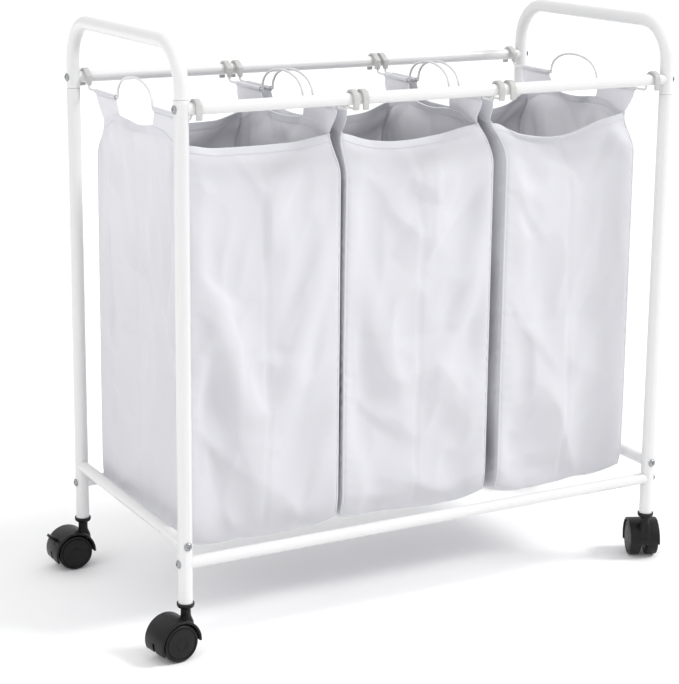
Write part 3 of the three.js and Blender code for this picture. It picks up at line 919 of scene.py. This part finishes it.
class SORTER_OT_bags(bpy.types.Operator):
    """Cut, sew and hang the three cloth bags, and let their cloth settle"""

    bl_idname = "sorter.bags"
    bl_label = "Bags"

    def execute(self, context):
        self.sizes = context.scene.sorter_bag
        bags = [self.cut_out(bag) for bag in BAGS]
        areas = [sum(face.area for face in shell.data.polygons) for shell in bags]
        self.settle(bags)
        for bag, shell, area in zip(BAGS, bags, areas):
            self.finish_bag(bag, shell, area)
        return {"FINISHED"}

    def cut_out(self, bag):
        """A box of cloth cells, with tabs and sleeves on its side panels, put in shape."""
        sizes = self.sizes
        low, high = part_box("bag_" + bag)
        clear_bench()
        bpy.ops.mesh.primitive_cube_add(size=1, location=(0.5, 0, 0.5))
        shell = named("cloth_bag_" + bag)
        shell.data.transform(Matrix.Diagonal((1, 2, 1, 1)))
        bpy.ops.object.mode_set(mode="EDIT")
        bpy.ops.mesh.select_all(action="DESELECT")
        bpy.ops.object.mode_set(mode="OBJECT")
        for face in shell.data.polygons:
            face.select = face.normal.z > 0.5
        bpy.ops.object.mode_set(mode="EDIT")
        bpy.ops.mesh.delete(type="ONLY_FACE")
        counts = (round((high.x - low.x) / sizes.cell), DEPTH_CELLS,
                  round((sizes.rim_height - low.z) / sizes.cell))
        for axis, count in enumerate(counts):
            start, span = (-1, 2) if axis == 1 else (0, 1)
            normal = [float(axis == one) for one in range(3)]
            for step in range(1, count):
                place_at = start + span * step / count
                bpy.ops.mesh.select_all(action="SELECT")
                bpy.ops.mesh.bisect(plane_co=[place_at * one for one in normal], plane_no=normal)
        self.pick_tab_edges(shell)
        for row in range(TAB_ROWS + SLEEVE_ROWS):
            bpy.ops.mesh.extrude_region_move(TRANSFORM_OT_translate={"value": (0, 0, ROW)})
        tidy_mesh()
        left, right = hanger_line(bag, "left"), hanger_line(bag, "right")
        shape = (bag, low.z, left, right)
        pinned = shell.vertex_groups.new(name="pinned")
        seams = [shell.vertex_groups.new(name=f"seam_{index}") for index in range(4)]
        top_row = 1 - 1.5 / counts[2]
        for face in shell.data.polygons:
            face.select = False
            centre = face.center
            face.material_index = 1 if top_row < centre.z < 1 else 0
        cuts = []
        for vertex in shell.data.vertices:
            cut = vertex.co.copy()
            cuts.extend(cut)
            if cut.z > 1 + ROW * (TAB_ROWS - 0.5):
                pinned.add([vertex.index], 1, "REPLACE")
            if cut.z < 1 + NEAR and min(cut.x, 1 - cut.x) < NEAR and abs(cut.y) > 1 - NEAR:
                seams[(cut.x > 0.5) + 2 * (cut.y > 0)].add([vertex.index], 1, "REPLACE")
            put = self.tab_point if cut.z > 1 + NEAR else self.wall_point
            vertex.co = put(cut, *shape)
        pattern = shell.data.attributes.new("cut", "FLOAT_VECTOR", "POINT")
        pattern.data.foreach_set("vector", cuts)
        pick(shell)
        bpy.ops.object.mode_set(mode="EDIT")
        bpy.ops.mesh.select_all(action="SELECT")
        bpy.ops.uv.cube_project(cube_size=1)
        bpy.ops.object.mode_set(mode="OBJECT")
        return shell

    def pick_tab_edges(self, shell):
        """Select the top edges of the side panels where the tabs rise."""
        bpy.ops.mesh.select_all(action="DESELECT")
        bpy.ops.object.mode_set(mode="OBJECT")
        points = shell.data.vertices
        for edge in shell.data.edges:
            ends = [points[index].co for index in edge.vertices]
            edge.select = all(
                end.z > 1 - NEAR and min(end.x, 1 - end.x) < NEAR and abs(end.y) > TAB_EDGE - NEAR
                for end in ends)
        bpy.ops.object.mode_set(mode="EDIT")
        bpy.ops.mesh.select_mode(type="EDGE")

    def rim(self, cut, bag):
        """Height of the rim over a point of the cut-out."""
        sag, deepest = SAG[bag]
        top = self.sizes.rim_height + RIM_RISE * ease((1 - abs(cut.y)) / 0.4)
        if 0 < cut.x < 1:
            share = (cut.x / (2 * deepest) if cut.x < deepest
                     else 1 - (1 - cut.x) / (2 * (1 - deepest)))
            top -= sag * math.sin(math.pi * share) ** 2
        return top

    def tab_point(self, cut, bag, floor, left, right):
        """Where a point of a tab goes: up to the wire, then round it as the sleeve."""
        sizes = self.sizes
        end = 1 if cut.y > 0 else -1
        rows = (cut.z - 1) / ROW
        rise = min(rows / TAB_ROWS, 1)
        across = (abs(cut.y) - TAB_EDGE) / (1 - TAB_EDGE)
        base = TAB_EDGE * sizes.rim_half_depth + TAB_SHIFT * end
        inner = base + (abs(SLEEVE_TOP[end]) - base) * rise
        outer = sizes.rim_half_depth + TAB_FLARE * math.sin(math.pi / 2 * rise)
        real_y = end * (inner + (outer - inner) * across)
        level, radius = wire_level(bag, "left"), sizes.wire_radius + SLEEVE_GAP
        hang_x = left(real_y) if cut.x < 0.5 else right(real_y)
        if rows <= TAB_ROWS + 0.01:
            top = self.rim(cut, bag)
            return Vector((hang_x, real_y, top + (level - radius - top) * rise))
        angle = math.radians(-90 + 350 * (rows - TAB_ROWS) / SLEEVE_ROWS)
        inwards = 1 if cut.x < 0.5 else -1
        return Vector((hang_x + inwards * radius * math.cos(angle), real_y,
                       level + radius * math.sin(angle)))

    def wall_point(self, cut, bag, floor, left, right):
        """Where a point of a panel or the bottom goes."""
        sizes = self.sizes
        x, y, z = cut
        top = self.rim(cut, bag)
        corner = (abs(2 * x - 1) * abs(y)) ** 6
        base = floor + 1 * MM + CORNER_LIFT * corner
        height = base + (top - base) * z
        half = sizes.rim_half_depth
        half += (sizes.half_depth - half) * ease((top - height - 4 * MM) / SHOULDER)
        half -= FOOT_TUCK * ease(1 - (height - base) / FOOT_HEIGHT)
        belly = math.sin(math.pi * min(z * 1.05, 1)) ** 0.7
        real_y = y * half + TAB_SHIFT * (1 - y * y) * z ** 8
        if abs(y) > 1 - NEAR:
            real_y += math.copysign(BULGE, y) * math.sin(math.pi * x) * belly
        lean = ease((1 - y) / 2) * ease((top - height) / (40 * MM) + 0.45)
        start, stop = WALL_SHIFT[bag]
        start = left(real_y) + start * MM * lean
        stop = right(real_y) + stop * MM * lean
        real_x = start * (1 - x) + stop * x
        if min(x, 1 - x) < NEAR:
            real_x += (-1 if x < 0.5 else 1) * SIDE_BULGE * (1 - y * y) * belly
        return Vector((real_x, real_y, height))

    def settle(self, bags):
        """Hang the cloth from its sleeves and let it settle, then keep the result."""
        scene = bpy.context.scene
        before = {}
        for shell in bags:
            before[shell.name] = [vertex.co.copy() for vertex in shell.data.vertices]
            pick(shell)
            bpy.ops.object.modifier_add(type="CLOTH")
            cloth = shell.modifiers[-1]
            for key, value in CLOTH.items():
                setattr(cloth.settings, key, value)
            cloth.settings.shrink_min = -self.sizes.spare
            cloth.collision_settings.use_collision = False
            cloth.point_cache.frame_start = 1
            cloth.point_cache.frame_end = self.sizes.settle
        for step in range(1, self.sizes.settle + 1):
            scene.frame_set(step)
        for shell in bags:
            pick(shell)
            bpy.ops.object.modifier_apply(modifier=shell.modifiers[-1].name)
        scene.frame_set(1)
        for shell in bags:
            self.hold_back(shell, before[shell.name])

    def hold_back(self, shell, before):
        """Cap how far the cloth moved: a little at the walls and corners, more in the panels."""
        pattern = shell.data.attributes["cut"].data
        for vertex, start, cut in zip(shell.data.vertices, before, pattern):
            x, y, _ = cut.vector
            moved = vertex.co - start
            loose = ease(min(x, 1 - x) / 0.25) + ease((1 - abs(y)) / 0.25)
            most = (3 + 12 * min(loose, 1)) * MM
            moved.x = min(max(moved.x, -4 * MM), 4 * MM)
            if moved.length > most:
                moved *= most / moved.length
            vertex.co = start + moved

    def finish_bag(self, bag, shell, area):
        """Smooth the cloth, crease it, sew its hem and corner seams, and hang it on its body."""
        sizes = self.sizes
        apply_modifier(shell, "SUBSURF", levels=1, render_levels=1)
        self.crease(bag, shell)
        pipings = self.corner_seams(bag, shell)
        hem = self.top_hem(bag, shell)
        for piece, thickness in ((shell, sizes.cloth), (hem, sizes.hem)):
            apply_modifier(piece, "SOLIDIFY", thickness=thickness, offset=0)
            shade(piece, 70)
        fit(shell, bag + "_bag", "white_polyester", "bag_" + bag)
        for piece in (hem, *pipings):
            fit(piece, bag + "_bag", "white_polyester")

    def crease(self, bag, shell):
        """Folds, packing creases and seam puckers, pushed along the cloth's own normals."""
        pattern = shell.data.attributes["cut"].data
        seed = 17.3 * (BAGS.index(bag) + 1)
        normals = [vertex.normal.copy() for vertex in shell.data.vertices]
        for vertex, cut, normal in zip(shell.data.vertices, pattern, normals):
            x, y, z = cut.vector
            if z > 1:
                continue
            facing = abs(normal.y) > abs(normal.x)
            along = x if facing else (1 + y) / 2
            edge = min(along, 1 - along)
            side = 3 if (y > 0 if facing else x > 0.5) else 0
            calm = ease(edge / 0.14) * ease((1 - z) / 0.06) * ease(z / 0.06)
            drift = Vector((along * 1.7 + 0.5 * z, 2.6 * z - 0.6 * along, seed + side))
            bend = noise.noise_vector(drift * 0.9) * 0.5
            fold = 0.5 - 2.2 * abs(noise.noise(drift + bend))
            small = 0.5 - 2.2 * abs(noise.noise(drift * 2.4 + Vector((5, 1, 0)) + bend))
            offset = calm * (COARSE_FOLDS * fold + FINE_FOLDS * small)
            if facing and y < 0:
                offset += calm * sum(
                    self.fold_height(along, z, *fold_line) for fold_line in FOLDS[bag])
            for spot, centre in ((along, 0.52), (z, 0.49)):
                offset -= PACKING * calm * math.exp(-((spot - centre) / PACKING_WIDTH) ** 2)
            pucker = math.sin(2 * math.pi * z * 30 + seed) * noise.noise(Vector((seed, side, 9 * z)))
            offset += PUCKERS * pucker * ease(edge / 0.02) * ease(1 - edge / 0.12)
            vertex.co += normal * offset * MM

    def fold_height(self, along, z, start, stop, height, width):
        """A ridge from start to stop: steep on one side, a long slope on the other, tapering."""
        run = Vector(stop) - Vector(start)
        run.x, to_point = run.x * PANEL_SHAPE, Vector((along, z)) - Vector(start)
        to_point.x *= PANEL_SHAPE
        share = to_point.dot(run) / run.length_squared
        if not 0 < share < 1:
            return 0
        across = (run.x * to_point.y - run.y * to_point.x) / run.length
        reach = width if across > 0 else width / 3.5
        return height * max(0, 1 - abs(across) / reach) * math.sin(math.pi * share) ** 0.6

    def corner_seams(self, bag, shell):
        """Roll a piping down each corner of the bag."""
        pipings = []
        for group in [one for one in shell.vertex_groups if one.name.startswith("seam_")]:
            path = []
            for vertex in shell.data.vertices:
                weights = [one.weight for one in vertex.groups if one.group == group.index]
                if weights and weights[0] > 0.99:
                    path.append(vertex.co.copy())
            path.sort(key=lambda point: -point.z)
            piping = rod_path(f"piping_{bag}_{group.name[-1]}", path, self.sizes.piping, 2)
            shade(piping, 70)
            pipings.append(piping)
        return pipings

    def top_hem(self, bag, shell):
        """Fold a hem from the top row of cells."""
        pick(shell)
        for face in shell.data.polygons:
            face.select = face.material_index == 1
        bpy.ops.object.mode_set(mode="EDIT")
        bpy.ops.mesh.select_mode(type="FACE")
        bpy.ops.mesh.duplicate()
        bpy.ops.mesh.separate(type="SELECTED")
        bpy.ops.object.mode_set(mode="OBJECT")
        hem = next(one for one in bpy.context.selected_objects if one is not shell)
        hem.name = "hem_" + bag
        hem.data.name = hem.name
        for piece in (shell, hem):
            for face in piece.data.polygons:
                face.material_index = 0
        return hem


# ---------------------------------------------------------------- stage


class SORTER_OT_stage(bpy.types.Operator):
    """Lay the floor, hang the soft lights and stand the camera"""

    bl_idname = "sorter.stage"
    bl_label = "Stage"

    def execute(self, context):
        scene = context.scene
        scene.view_settings.view_transform = "Standard"
        self.lay_floor()
        self.fill_sky(scene)
        for name, azimuth, elevation, spread, strength in (
                ("key_light", 60, 42, 18, 1.75), ("fill_light", -70, 30, 60, 0.45)):
            clear_bench()
            bpy.ops.object.light_add(type="SUN", location=(0, 0, 3))
            lamp = bpy.context.object
            lamp.name = name
            lamp.data.angle = math.radians(spread)
            lamp.data.energy = strength
            lamp.rotation_euler = (math.radians(90 - elevation), 0, math.radians(azimuth))
        self.stand_camera(scene)
        return {"FINISHED"}

    def lay_floor(self):
        clear_bench()
        bpy.ops.mesh.primitive_plane_add(size=80, location=(0, 0, -0.0005))
        floor = named("studio_floor")
        paper = bpy.data.materials.new("studio_paper")
        paper.use_nodes = True
        shader = paper.node_tree.nodes["Principled BSDF"]
        shader.inputs["Base Color"].default_value = (0.94, 0.94, 0.94, 1)
        shader.inputs["Roughness"].default_value = 0.9
        floor.data.materials.append(paper)

    def fill_sky(self, scene):
        """An even sky that darkens a little towards the horizon."""
        world = bpy.data.worlds.new("studio_sky")
        world.use_nodes = True
        scene.world = world
        tree = world.node_tree
        sky = tree.nodes["Background"]
        where = tree.nodes.new("ShaderNodeTexCoord")
        split = tree.nodes.new("ShaderNodeSeparateXYZ")
        ramp = tree.nodes.new("ShaderNodeValToRGB")
        ramp.color_ramp.elements[0].color = (0.60, 0.60, 0.62, 1)
        ramp.color_ramp.elements[1].color = (1, 1, 1, 1)
        ramp.color_ramp.elements[1].position = 0.6
        tree.links.new(where.outputs["Generated"], split.inputs["Vector"])
        tree.links.new(split.outputs["Z"], ramp.inputs["Fac"])
        tree.links.new(ramp.outputs["Color"], sky.inputs["Color"])
        sky.inputs["Strength"].default_value = 1.02

    def stand_camera(self, scene):
        azimuth, elevation, roll = (math.radians(angle) for angle in (-28.95, 12.98, 0.56))
        back = Vector((math.sin(azimuth) * math.cos(elevation),
                       -math.cos(azimuth) * math.cos(elevation), math.sin(elevation)))
        right = Vector((math.cos(azimuth), math.sin(azimuth), 0))
        up = back.cross(right)
        turn = Matrix((right * math.cos(roll) + up * math.sin(roll),
                       up * math.cos(roll) - right * math.sin(roll), back)).transposed()
        clear_bench()
        bpy.ops.object.camera_add(location=(-1.317, -2.293, 1.030))
        camera = bpy.context.object
        camera.name = "studio_camera"
        camera.rotation_euler = turn.to_euler()
        camera.data.sensor_width = 36
        camera.data.lens = 100.2
        camera.data.shift_y = -0.088
        scene.camera = camera


# ---------------------------------------------------------------- add-on


class SORTER_PT_panel(bpy.types.Panel):
    """Lists the makers of the sorter's pieces"""

    bl_label = "Laundry sorter"
    bl_idname = "SORTER_PT_panel"
    bl_space_type = "VIEW_3D"
    bl_region_type = "UI"
    bl_category = "Sorter"

    def draw(self, context):
        for holder in HOLDERS:
            box = self.layout.box()
            box.label(text=HOLDERS[holder].__doc__)
            settings = getattr(context.scene, holder)
            for key in HOLDERS[holder].__annotations__:
                box.prop(settings, key)
        for maker in MAKERS:
            self.layout.operator(maker.bl_idname)


HOLDERS = {"sorter_cart": CartSizes, "sorter_caster": CasterSizes,
           "sorter_bag": BagSizes, "sorter_finishes": Finishes}
MAKERS = (SORTER_OT_stage, SORTER_OT_legs, SORTER_OT_handles, SORTER_OT_rails,
          SORTER_OT_fasteners, SORTER_OT_casters, SORTER_OT_wires, SORTER_OT_hooks,
          SORTER_OT_bags)


def register():
    for one in (*HOLDERS.values(), *MAKERS, SORTER_PT_panel):
        bpy.utils.register_class(one)
    for holder, kind in HOLDERS.items():
        setattr(bpy.types.Scene, holder, bpy.props.PointerProperty(type=kind))


def unregister():
    for holder in HOLDERS:
        delattr(bpy.types.Scene, holder)
    for one in (SORTER_PT_panel, *reversed(MAKERS), *reversed(HOLDERS.values())):
        bpy.utils.unregister_class(one)


def main():
    register()
    bpy.ops.sorter.stage()
    bpy.ops.sorter.legs()
    bpy.ops.sorter.handles()
    bpy.ops.sorter.rails()
    bpy.ops.sorter.fasteners()
    bpy.ops.sorter.casters()
    bpy.ops.sorter.wires()
    bpy.ops.sorter.hooks()
    bpy.ops.sorter.bags()
    clear_bench()


if __name__ == "__main__":
    main()
